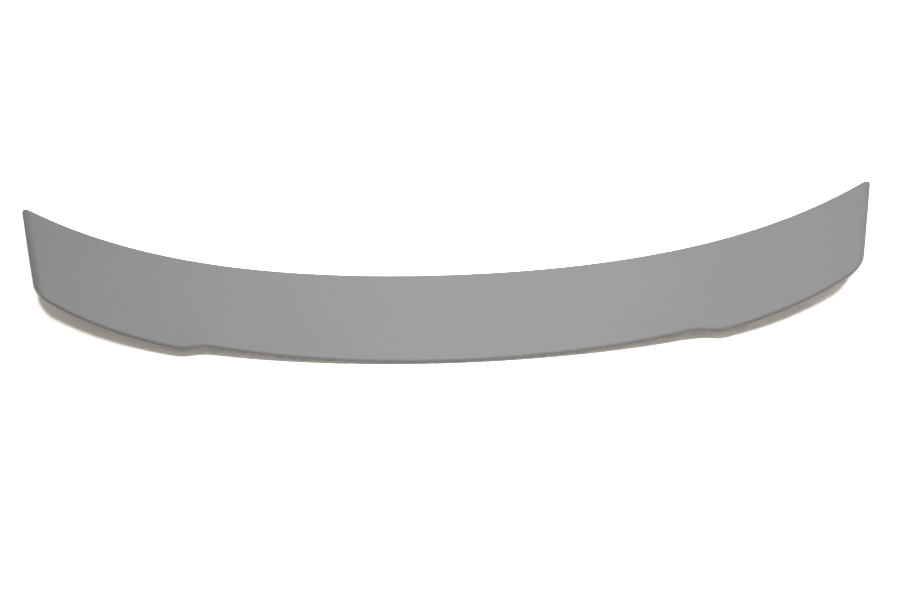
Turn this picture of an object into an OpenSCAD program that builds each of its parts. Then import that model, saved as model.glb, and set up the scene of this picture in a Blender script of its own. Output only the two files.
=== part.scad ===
// Car spoiler: one thin moulded blade in grey primer, made to be bonded by its
// front land along the top of a rear window. Seen from above it bows towards the
// rear, its outer thirds reach a little further back than the middle, the front
// corners end in points and the rear corners are rounded.
// Millimetres. X runs across the car, Y towards the front, Z up. The origin is the
// middle of the space the blade takes up, on the ground it rests on at Z = 0.

/* [Plan] */
// Width between the two front tips
blade_width = 1160; // [1100:5:1220]
// Width between the two rear corners, before they are rounded
rear_width = 1084; // [1050:1:1110]
// Depth from the front edge to the rear edge on the centre line
blade_depth = 148; // [125:0.5:165]
// How far the front edge runs forward by the tips, even part of its curve
front_sweep = 67.5; // [50:0.5:80]
// Extra run of the front edge that gathers towards the tips
front_sweep_tip = 54; // [45:0.5:75]
// How far the rear edge runs forward by its corners, even part of its curve
rear_sweep = 83; // [65:0.5:95]
// Extra run of the rear edge that gathers towards its corners
rear_sweep_end = 40; // [30:0.5:55]

/* [Rear edge steps] */
// How much further back the outer parts of the rear edge stand
step_depth = 10.5; // [6:0.5:20]
// Distance from the centre line at which each step begins
step_start = 308; // [260:1:340]
// Width over which each step runs out
step_length = 46; // [36:1:80]
// How much lower the outer parts of the rear edge hang
step_drop = 3; // [0:0.5:4]

/* [Corners] */
// Length of the rounding at each rear corner, measured along both edges
corner_length = 20; // [19:1:30]
// Length of the small rounding at each front tip
tip_length = 9; // [4:0.5:12]
// Width over which the sides roll down to their thin edge
side_roll = 16; // [12:0.5:18]
// How far the whole section bends down at the side edge
side_drop = 4.5; // [2:0.5:6]
// Thickness left at the side edge, as a share of the full section
side_share = 0.45; // [0.3:0.01:0.7]

/* [Section] */
// Thickness of the blade behind the rounded rear lip
rear_thickness = 6.5; // [6:0.1:8]
// Thickness of the feathered front edge
front_thickness = 2; // [1.6:0.1:3]
// Thickness of the skin over the hollow of the underside
skin = 3.2; // [2.4:0.1:3.6]
// Radius of the upper edge of the rear lip
lip_radius = 4; // [3:0.1:4.2]
// Radius of the lower edge of the rear lip
lip_under_radius = 1.8; // [1:0.1:1.8]
// Radius of the upper edge of the front edge
front_radius = 1; // [0.6:0.1:1.2]

/* [Underside] */
// Width of the flat bonding land behind the front edge
front_land = 30; // [20:1:40]
// Width of the flat rim ahead of the rear lip
rear_rim = 9; // [7:0.5:14]
// Width of the flat rim inside each side edge
side_rim = 20; // [19:1:30]
// Run of the sloped walls between the rims and the hollow
wall_run = 3; // [2:0.5:6]

/* [Rise of the ends] */
// Height of the ends above the middle of the blade, before the sides roll down
end_lift = 33; // [16:0.5:40]
// How late the rise gathers: 1 is an even slope, 2 a plain bow
rise_power = 2; // [1.4:0.1:2.4]
// Share of the half width that stays flat in the middle
flat_share = 0.02; // [0.02:0.01:0.25]

/* [Hidden] */
half_front = blade_width / 2;
half_rear = rear_width / 2;
step_end = step_start + step_length;
corner_start = half_rear - corner_length;
roll_start = half_rear - side_roll;
hollow_end = half_rear - side_rim;

// Numbers of parts each zone of the half width is divided into
middle_parts = 28;
step_parts = 11;
outer_parts = 15;
corner_parts = 3;
roll_parts = 8;

// Numbers of parts of the section outline
top_parts = 14;
lip_parts = 6;
under_parts = 3;
ceiling_parts = 6;
nose_parts = 3;

// Plain helpers: hold a share between 0 and 1, ease it in and out, and the
// inward run of a quarter ellipse
function held(t) = min(1, max(0, t));
function eased(t) = pow(held(t), 2) * (3 - 2 * held(t));
function quarter(t) = 1 - sqrt(1 - pow(held(t), 2));

// Plan curves: u runs from -1 at the left side to 1 at the right side
function front_line(u) = [
    half_front * u,
    blade_depth + front_sweep * pow(u, 2) + front_sweep_tip * pow(u, 4)
];
function step_share(u) = eased((half_rear * abs(u) - step_start) / step_length);
function rear_line(u) = [
    half_rear * u,
    rear_sweep * pow(u, 2) + rear_sweep_end * pow(u, 6) - step_depth * step_share(u)
];

// The roundings take these lengths off both ends of each section line
function corner_cut(u) = corner_length * quarter((half_rear * abs(u) - corner_start) / corner_length);
function tip_cut(u) = tip_length * quarter((half_rear * abs(u) - half_rear + tip_length) / tip_length);
function along(u) = (rear_line(u) - front_line(u)) / norm(rear_line(u) - front_line(u));
function front_point(u) = front_line(u) + along(u) * tip_cut(u);
function depth_at(u) = norm(rear_line(u) - front_line(u)) - tip_cut(u) - corner_cut(u);

// Rise of the whole section towards the ends, less its fall in the rolled sides,
// and its thinning there
function roll_share(u) = held((half_rear * abs(u) - roll_start) / side_roll);
function rise(u) = end_lift * pow(max(0, (abs(u) - flat_share) / (1 - flat_share)), rise_power);
function lift(u) = rise(u) - side_drop * pow(roll_share(u), 2);
function side_scale(u) = 1 - (1 - side_share) * quarter(roll_share(u));
function hollow_share(u) = eased((hollow_end - half_rear * abs(u)) / (2 * wall_run));

// Height of the upper face over the underside at the distance s from the front
function top_height(s, depth) =
    front_thickness + (rear_thickness - front_thickness) * (1 - pow(1 - s / depth, 2));
function ceiling_height(s, depth, share) = share * max(0.02, top_height(s, depth) - skin);

// Outline of one section as [distance from the front, height], round from the
// front face over the top, the rear lip, the rim, the hollow and the front land
function section_outline(depth, share) =
    let (lip_start = depth - lip_radius)
    let (lip_height = top_height(lip_start, depth))
    let (hollow_back = depth - rear_rim - wall_run)
    let (hollow_front = front_land + wall_run)
    concat(
        [for (i = [0 : nose_parts]) let (a = 90 * i / nose_parts) [
            front_radius * (1 - cos(a)),
            front_thickness - front_radius * (1 - sin(a))
        ]],
        [for (i = [1 : top_parts]) let (s = front_radius + (lip_start - front_radius) * i / top_parts) [
            s,
            top_height(s, depth)
        ]],
        [for (i = [1 : lip_parts]) let (a = 90 * i / lip_parts) [
            lip_start + lip_radius * sin(a),
            lip_height - lip_radius * (1 - cos(a))
        ]],
        [for (i = [0 : under_parts]) let (a = 90 * i / under_parts) [
            depth - lip_under_radius * (1 - cos(a)),
            lip_under_radius * (1 - sin(a))
        ]],
        [[depth - rear_rim, 0]],
        [for (i = [0 : ceiling_parts]) let (s = hollow_back + (hollow_front - hollow_back) * i / ceiling_parts) [
            s,
            ceiling_height(s, depth, share)
        ]],
        [[front_land, 0], [0, 0]]
    );

// Stations across the right half, closer together where the outline turns
half_stations = concat(
    [for (i = [1 : middle_parts]) step_start * i / middle_parts],
    [for (i = [1 : step_parts]) step_start + step_length * i / step_parts],
    [for (i = [1 : outer_parts]) step_end + (corner_start - step_end) * i / outer_parts],
    [for (i = [1 : corner_parts]) corner_start + (roll_start - corner_start) * i / corner_parts],
    [for (i = [1 : roll_parts]) roll_start + side_roll * sin(90 * i / roll_parts)]
) / half_rear;
half_count = len(half_stations);
stations = concat(
    [for (i = [half_count - 1 : -1 : 0]) -half_stations[i]],
    [0],
    half_stations
);
station_count = len(stations);
ring_count = len(section_outline(blade_depth, 1));

// Half the run from the middle of the rear edge to the forward tips
half_run = max([for (u = stations) front_point(u)[1]]) / 2;

// One ring of points in space for a station: its rear hangs lower past the steps
function ring(u) =
    let (start = front_point(u))
    let (way = along(u))
    let (depth = depth_at(u))
    [for (p = section_outline(depth, hollow_share(u))) [
        start[0] + way[0] * p[0],
        start[1] + way[1] * p[0] - half_run,
        lift(u) - step_drop * step_share(u) * pow(p[0] / depth, 2) + side_scale(u) * p[1]
    ]];

// Skin between the rings: two triangles to a cell, mirrored about the middle
function point_index(i, j) = i * ring_count + j % ring_count;
function cell(i, j) =
    i < half_count
        ? [
            [point_index(i, j), point_index(i, j + 1), point_index(i + 1, j)],
            [point_index(i + 1, j), point_index(i, j + 1), point_index(i + 1, j + 1)]
        ]
        : [
            [point_index(i, j), point_index(i, j + 1), point_index(i + 1, j + 1)],
            [point_index(i, j), point_index(i + 1, j + 1), point_index(i + 1, j)]
        ];

// The blade: one closed skin through all the rings, with a flat face at each side
module spoiler_blade() {
    points = [for (u = stations) each ring(u)];
    skin_faces = [for (i = [0 : station_count - 2], j = [0 : ring_count - 1]) each cell(i, j)];
    left_face = [for (j = [ring_count - 1 : -1 : 0]) point_index(0, j)];
    right_face = [for (j = [0 : ring_count - 1]) point_index(station_count - 1, j)];
    color([0.63, 0.63, 0.62])
        polyhedron(points, concat(skin_faces, [left_face, right_face]), convexity = 6);
}

spoiler_blade();
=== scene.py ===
import bpy
import bmesh
from math import cos, pi, radians, sin, sqrt
from mathutils import Matrix, Vector


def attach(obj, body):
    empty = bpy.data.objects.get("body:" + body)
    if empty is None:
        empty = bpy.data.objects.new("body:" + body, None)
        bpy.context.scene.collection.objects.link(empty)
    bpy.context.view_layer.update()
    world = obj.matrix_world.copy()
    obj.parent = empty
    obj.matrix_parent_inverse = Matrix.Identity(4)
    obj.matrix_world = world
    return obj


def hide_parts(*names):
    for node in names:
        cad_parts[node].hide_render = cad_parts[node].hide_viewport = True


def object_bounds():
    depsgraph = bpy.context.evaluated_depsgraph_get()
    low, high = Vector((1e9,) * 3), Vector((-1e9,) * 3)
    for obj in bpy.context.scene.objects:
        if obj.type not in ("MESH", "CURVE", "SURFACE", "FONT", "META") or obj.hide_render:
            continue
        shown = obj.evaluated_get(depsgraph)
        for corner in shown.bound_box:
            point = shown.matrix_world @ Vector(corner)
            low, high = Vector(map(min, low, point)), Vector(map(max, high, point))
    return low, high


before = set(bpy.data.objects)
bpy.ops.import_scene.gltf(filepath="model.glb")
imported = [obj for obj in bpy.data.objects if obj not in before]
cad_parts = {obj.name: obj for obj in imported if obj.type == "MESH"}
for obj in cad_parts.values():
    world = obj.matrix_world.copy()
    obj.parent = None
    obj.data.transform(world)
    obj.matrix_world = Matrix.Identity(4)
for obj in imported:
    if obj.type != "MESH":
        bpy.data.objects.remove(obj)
cad_low, cad_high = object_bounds()


# The blade: one thin bowed plastic moulding with pointed front corners, rounded
# rear corners and a small step on each side of the rear edge. It is hollow below,
# behind the flat land along its front edge that is bonded to the rear window.
HALF_FRONT, HALF_REAR, DEPTH = 0.580, 0.542, 0.148
FRONT_SWEEP, FRONT_SWEEP_TIP = 0.0675, 0.054
REAR_SWEEP, REAR_SWEEP_END = 0.083, 0.040
STEP_START, STEP_LENGTH, STEP_DEPTH, STEP_DROP = 0.308, 0.046, 0.0105, 0.003
CORNER, TIP = 0.020, 0.009
SIDE_ROLL, SIDE_DROP, SIDE_SHARE = 0.016, 0.0045, 0.45
REAR_THICK, FRONT_THICK, SKIN = 0.0065, 0.0020, 0.0032
LIP, LIP_UNDER, NOSE = 0.004, 0.0018, 0.001
FRONT_LAND, REAR_RIM, SIDE_RIM, WALL = 0.030, 0.009, 0.020, 0.003
END_LIFT, RISE_POWER, FLAT_SHARE = 0.033, 2, 0.02
# The origin is the middle of the run from the rear edge to the tips.
HALF_RUN = (cad_high.y - cad_low.y) / 2
# Numbers of parts across the half width, and round the section.
MIDDLE_PARTS, STEP_PARTS, OUTER_PARTS, CORNER_PARTS, ROLL_PARTS = 44, 24, 30, 4, 20
NOSE_PARTS, TOP_PARTS, LIP_PARTS, UNDER_PARTS, CEILING_PARTS = 6, 32, 14, 8, 14


def held(t):
    return min(1.0, max(0.0, t))


def eased(t):
    return held(t) ** 2 * (3 - 2 * held(t))


def quarter(t):
    return 1 - sqrt(1 - held(t) ** 2)


def evenly(start, run, parts):
    """The ends of the equal parts of a run."""
    return [start + run * i / parts for i in range(1, parts + 1)]


def angles(parts, first=0):
    """The angles that divide a quarter turn."""
    return [pi / 2 * i / parts for i in range(first, parts + 1)]


def front_line(u):
    ahead = FRONT_SWEEP * u ** 2 + FRONT_SWEEP_TIP * u ** 4
    return Vector((HALF_FRONT * u, DEPTH + ahead))


def step_share(u):
    return eased((HALF_REAR * abs(u) - STEP_START) / STEP_LENGTH)


def rear_line(u):
    ahead = REAR_SWEEP * u ** 2 + REAR_SWEEP_END * u ** 6
    return Vector((HALF_REAR * u, ahead - STEP_DEPTH * step_share(u)))


def section(depth, hollow):
    """One section of the blade, as points (distance from the front, height)."""
    def top(s):
        return FRONT_THICK + (REAR_THICK - FRONT_THICK) * (1 - (1 - s / depth) ** 2)

    lip = depth - LIP
    back, fore = depth - REAR_RIM - WALL, FRONT_LAND + WALL
    points = [
        (NOSE * (1 - cos(a)), FRONT_THICK - NOSE * (1 - sin(a)))
        for a in angles(NOSE_PARTS)
    ]
    points += [(s, top(s)) for s in evenly(NOSE, lip - NOSE, TOP_PARTS)]
    points += [
        (lip + LIP * sin(a), top(lip) - LIP * (1 - cos(a)))
        for a in angles(LIP_PARTS, 1)
    ]
    points += [
        (depth - LIP_UNDER * (1 - cos(a)), LIP_UNDER * (1 - sin(a)))
        for a in angles(UNDER_PARTS)
    ]
    points += [(depth - REAR_RIM, 0)]
    points += [
        (s, hollow * (top(s) - SKIN))
        for s in [back] + evenly(back, fore - back, CEILING_PARTS)
    ]
    points += [(FRONT_LAND, 0), (FRONT_LAND / 2, 0), (0, 0)]
    return points


# Stations across the half width, closer together where the outline turns.
step_end = STEP_START + STEP_LENGTH
corner_start, roll_start = HALF_REAR - CORNER, HALF_REAR - SIDE_ROLL
half_stations = evenly(0.0, STEP_START, MIDDLE_PARTS)
half_stations += evenly(STEP_START, STEP_LENGTH, STEP_PARTS)
half_stations += evenly(step_end, corner_start - step_end, OUTER_PARTS)
half_stations += evenly(corner_start, CORNER - SIDE_ROLL, CORNER_PARTS)
half_stations += [roll_start + SIDE_ROLL * sin(a) for a in angles(ROLL_PARTS, 1)]
right_half = [x / HALF_REAR for x in half_stations]
stations = [-u for u in reversed(right_half)] + [0.0] + right_half


def station_points(u):
    across = HALF_REAR * abs(u)
    way = rear_line(u) - front_line(u)
    tip_cut = TIP * quarter((across - HALF_REAR + TIP) / TIP)
    corner_cut = CORNER * quarter((across - HALF_REAR + CORNER) / CORNER)
    depth = way.length - tip_cut - corner_cut
    way.normalize()
    start = front_line(u) + way * tip_cut
    hollow = eased((HALF_REAR - SIDE_RIM - across) / (2 * WALL))
    lift = END_LIFT * max(0.0, (abs(u) - FLAT_SHARE) / (1 - FLAT_SHARE)) ** RISE_POWER
    roll = held((across - HALF_REAR + SIDE_ROLL) / SIDE_ROLL)
    lift -= SIDE_DROP * roll ** 2
    thin = 1 - (1 - SIDE_SHARE) * quarter(roll)
    drop = STEP_DROP * step_share(u)
    return [
        Vector((
            start.x + way.x * s,
            start.y + way.y * s - HALF_RUN,
            lift - drop * (s / depth) ** 2 + thin * h,
        ))
        for s, h in section(depth, hollow)
    ]


# A flat grid is bent round the sections and welded along the front edge.
GRID_HALF, WELD, SHARP = 0.5, 1e-7, radians(38)
rings = [station_points(u) for u in stations]
across_cells, round_cells = len(rings) - 1, len(rings[0])
blade_mesh = bpy.data.meshes.new("blade")
shape = bmesh.new()
bmesh.ops.create_grid(
    shape, x_segments=across_cells, y_segments=round_cells, size=GRID_HALF
)
for vert in shape.verts:
    i = round((vert.co.x + GRID_HALF) * across_cells)
    j = round((vert.co.y + GRID_HALF) * round_cells)
    vert.co = rings[i][j % round_cells]
bmesh.ops.remove_doubles(shape, verts=shape.verts, dist=WELD)
ends = [edge for edge in shape.edges if edge.is_boundary]
bmesh.ops.holes_fill(shape, edges=ends, sides=0)
bmesh.ops.recalc_face_normals(shape, faces=shape.faces)
for face in shape.faces:
    face.smooth = True
shape.to_mesh(blade_mesh)
shape.free()
blade_mesh.set_sharp_from_angle(angle=SHARP)
blade = bpy.data.objects.new("blade", blade_mesh)
bpy.context.scene.collection.objects.link(blade)


class Value:
    """A node socket that takes part in sums."""

    def __init__(self, paint, socket):
        self.paint, self.socket = paint, socket

    def sum(self, operation, first, second):
        return self.paint.add("ShaderNodeMath", {"operation": operation}, {0: first, 1: second})

    def __add__(self, other):
        return self.sum("ADD", self, other)

    def __sub__(self, other):
        return self.sum("SUBTRACT", self, other)

    def __rsub__(self, other):
        return self.sum("SUBTRACT", other, self)

    def __mul__(self, other):
        return self.sum("MULTIPLY", self, other)

    def __gt__(self, other):
        return self.sum("GREATER_THAN", self, other)

    def __lt__(self, other):
        return self.sum("LESS_THAN", self, other)

    __radd__, __rmul__ = __add__, __mul__


class Paint:
    """The nodes of a material, or of the studio's surround."""

    def __init__(self, owner):
        owner.use_nodes = True
        self.owner, self.tree = owner, owner.node_tree
        self.tree.nodes.clear()

    def add(self, kind, settings, sockets, out=0):
        node = self.tree.nodes.new(kind)
        for key, value in settings.items():
            setattr(node, key, value)
        for key, value in sockets.items():
            if isinstance(value, Value):
                self.tree.links.new(value.socket, node.inputs[key])
            else:
                node.inputs[key].default_value = value
        return Value(self, node.outputs[out]) if node.outputs else node


def blend(paint, share, first, second):
    """The first colour, with a share of the second in its place."""
    sockets = {0: share, 6: first, 7: second}
    return paint.add("ShaderNodeMix", {"data_type": "RGBA"}, sockets, 2)


# The primer: a flat grey sprayed coat, with a little unevenness from the gun,
# a fine orange peel and a few specks of dust caught in it.
DARK_GREY, LIGHT_GREY = (0.330, 0.328, 0.322, 1.0), (0.382, 0.380, 0.374, 1.0)
CLOUD_TONE, MOTTLE_TONE = 0.5, 0.45
DUST, DUST_COVER = (0.17, 0.165, 0.16, 1.0), 0.55
SPECK_SCALE, SPECK_SIZE, SPECK_CHOICE = 21.0, 0.016, 0.72
PEEL_SHARE, GRAIN_SHARE, SPECK_SHARE = 0.7, 0.3, 0.6
ROUGHNESS, CLOUD_ROUGHNESS, MOTTLE_ROUGHNESS = 0.54, 0.10, 0.12
primer = Paint(bpy.data.materials.new("grey_primer"))
place = primer.add("ShaderNodeTexCoord", {}, {}, "Object")


def noise(scale, detail, roughness):
    sockets = {"Vector": place, "Scale": scale, "Detail": detail, "Roughness": roughness}
    return primer.add("ShaderNodeTexNoise", {}, sockets)


def cells(out):
    sockets = {"Vector": place, "Scale": SPECK_SCALE}
    return primer.add("ShaderNodeTexVoronoi", {"feature": "F1"}, sockets, out)


# Noise runs about a half, so taking a half off leaves changes both ways.
cloud = noise(scale=7.0, detail=3.0, roughness=0.55) - 0.5
mottle = noise(scale=110.0, detail=4.0, roughness=0.6) - 0.5
tone = cloud * CLOUD_TONE + mottle * MOTTLE_TONE + 0.5
chosen = primer.add("ShaderNodeSeparateColor", {}, {"Color": cells("Color")}, "Red")
specks = (cells("Distance") < SPECK_SIZE) * (chosen > SPECK_CHOICE)
coat = blend(primer, specks * DUST_COVER, blend(primer, tone, DARK_GREY, LIGHT_GREY), DUST)
peel = noise(scale=520.0, detail=2.0, roughness=0.5)
grain = noise(scale=2600.0, detail=2.0, roughness=0.6)
height = peel * PEEL_SHARE + grain * GRAIN_SHARE + specks * SPECK_SHARE
relief = primer.add(
    "ShaderNodeBump",
    {},
    {"Strength": 0.35, "Distance": 0.00012, "Height": height},
)
surface = primer.add(
    "ShaderNodeBsdfPrincipled",
    {},
    {
        "Base Color": coat,
        "Roughness": ROUGHNESS + cloud * CLOUD_ROUGHNESS + mottle * MOTTLE_ROUGHNESS,
        "Normal": relief,
        "Specular IOR Level": 0.35,
    },
)
primer.add("ShaderNodeOutputMaterial", {}, {"Surface": surface})
blade_mesh.materials.append(primer.owner)
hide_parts("spoiler_blade")
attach(blade, "root")


# The studio: a plain pale paper floor that shows white to the camera and keeps
# the blade's shadow, plain white further out and all around, and three small
# soft lamps: over the left end, over the middle and past the right end.
FLOOR_HALF, FLOOR_CELLS, FLOOR_GAP = 6.0, 8, 0.0002
PAPER, PAPER_SEEN = (0.93, 0.91, 0.87, 1.0), (3.7, 3.54, 3.3, 1.0)
WHITE = (1.0, 1.0, 1.0, 1.0)
FADE_START, FADE_END = 0.7, 1.1
AMBIENT = 0.10


def plainly_seen(paint):
    """One where the floor and the surround are looked at or mirrored, else none."""
    kinds = ("Is Camera Ray", "Is Glossy Ray", "Is Transmission Ray")
    camera, glossy, through = (
        paint.add("ShaderNodeLightPath", {}, {}, kind) for kind in kinds
    )
    return camera + glossy + through


floor_mesh = bpy.data.meshes.new("floor")
ground = bmesh.new()
bmesh.ops.create_grid(
    ground, x_segments=FLOOR_CELLS, y_segments=FLOOR_CELLS, size=FLOOR_HALF
)
bmesh.ops.translate(ground, verts=ground.verts, vec=(0.0, 0.0, -FLOOR_GAP))
ground.to_mesh(floor_mesh)
ground.free()
floor = bpy.data.objects.new("floor", floor_mesh)
bpy.context.scene.collection.objects.link(floor)

paper = Paint(bpy.data.materials.new("floor_paper"))
seen = plainly_seen(paper)
matt = paper.add("ShaderNodeBsdfDiffuse", {}, {"Color": blend(paper, seen, PAPER, PAPER_SEEN)})
spot = paper.add("ShaderNodeTexCoord", {}, {}, "Object")
reach = paper.add("ShaderNodeVectorMath", {"operation": "LENGTH"}, {0: spot}, "Value")
far = paper.add(
    "ShaderNodeMapRange",
    {"interpolation_type": "SMOOTHSTEP"},
    {"Value": reach, "From Min": FADE_START, "From Max": FADE_END, "To Min": 0.0, "To Max": 1.0},
)
bright = paper.add("ShaderNodeEmission", {}, {"Color": WHITE, "Strength": 1.0})
spread = paper.add("ShaderNodeMixShader", {}, {0: far * seen, 1: matt, 2: bright})
clear = paper.add("ShaderNodeBsdfTransparent", {}, {})
below = paper.add("ShaderNodeNewGeometry", {}, {}, "Backfacing")
sheet = paper.add("ShaderNodeMixShader", {}, {0: below, 1: spread, 2: clear})
paper.add("ShaderNodeOutputMaterial", {}, {"Surface": sheet})
floor_mesh.materials.append(paper.owner)

surround = Paint(bpy.data.worlds.new("studio"))
pale, white = (
    surround.add("ShaderNodeBackground", {}, {"Color": WHITE, "Strength": strength})
    for strength in (AMBIENT, 1.0)
)
walls = surround.add("ShaderNodeMixShader", {}, {0: plainly_seen(surround), 1: pale, 2: white})
surround.add("ShaderNodeOutputWorld", {}, {"Surface": walls})
bpy.context.scene.world = surround.owner


def lamp(name, place, aim, size, energy):
    light = bpy.data.lights.new(name, "AREA")
    light.shape = "SQUARE"
    light.size = size
    light.energy = energy
    stand = bpy.data.objects.new(name, light)
    stand.location = place
    stand.rotation_euler = (Vector(place) - Vector(aim)).to_track_quat("Z", "Y").to_euler()
    stand.visible_camera = False
    bpy.context.scene.collection.objects.link(stand)


lamp("left_softbox", place=(-0.6, 0.1, 1.2), aim=(-0.2, 0.0, 0.0), size=0.25, energy=3.2)
lamp("middle_softbox", place=(0.03, 0.04, 0.8), aim=(0.03, 0.04, 0.0), size=0.2, energy=3.1)
lamp("right_softbox", place=(1.08, 0.19, 1.06), aim=(0.0, 0.0, 0.0), size=0.25, energy=5.7)


# The camera: it looks down at fifty degrees from behind the blade's rear edge,
# turned a little about its own line of sight.
TILT, ROLL, AWAY = radians(50), 0.0337, 2.300
AIM_ACROSS, AIM_AHEAD = 0.0007, 0.10623
SENSOR, FOCAL_PIXELS, PHOTO_WIDTH = 36.0, 1745.0, 900
aim = Vector((AIM_ACROSS, AIM_AHEAD - HALF_RUN, 0.0))
right = Vector((1.0, 0.0, 0.0))
up = Vector((0.0, sin(TILT), cos(TILT)))
back = Vector((0.0, -cos(TILT), sin(TILT)))
turned_right = right * cos(ROLL) - up * sin(ROLL)
turned_up = right * sin(ROLL) + up * cos(ROLL)
turn = Matrix((turned_right, turned_up, back)).transposed().to_4x4()
lens = bpy.data.cameras.new("camera")
lens.sensor_width = SENSOR
lens.lens = SENSOR * FOCAL_PIXELS / PHOTO_WIDTH
camera = bpy.data.objects.new("camera", lens)
bpy.context.scene.collection.objects.link(camera)
camera.matrix_world = Matrix.Translation(aim + back * AWAY) @ turn
bpy.context.scene.camera = camera
bpy.context.scene.view_settings.view_transform = "Standard"
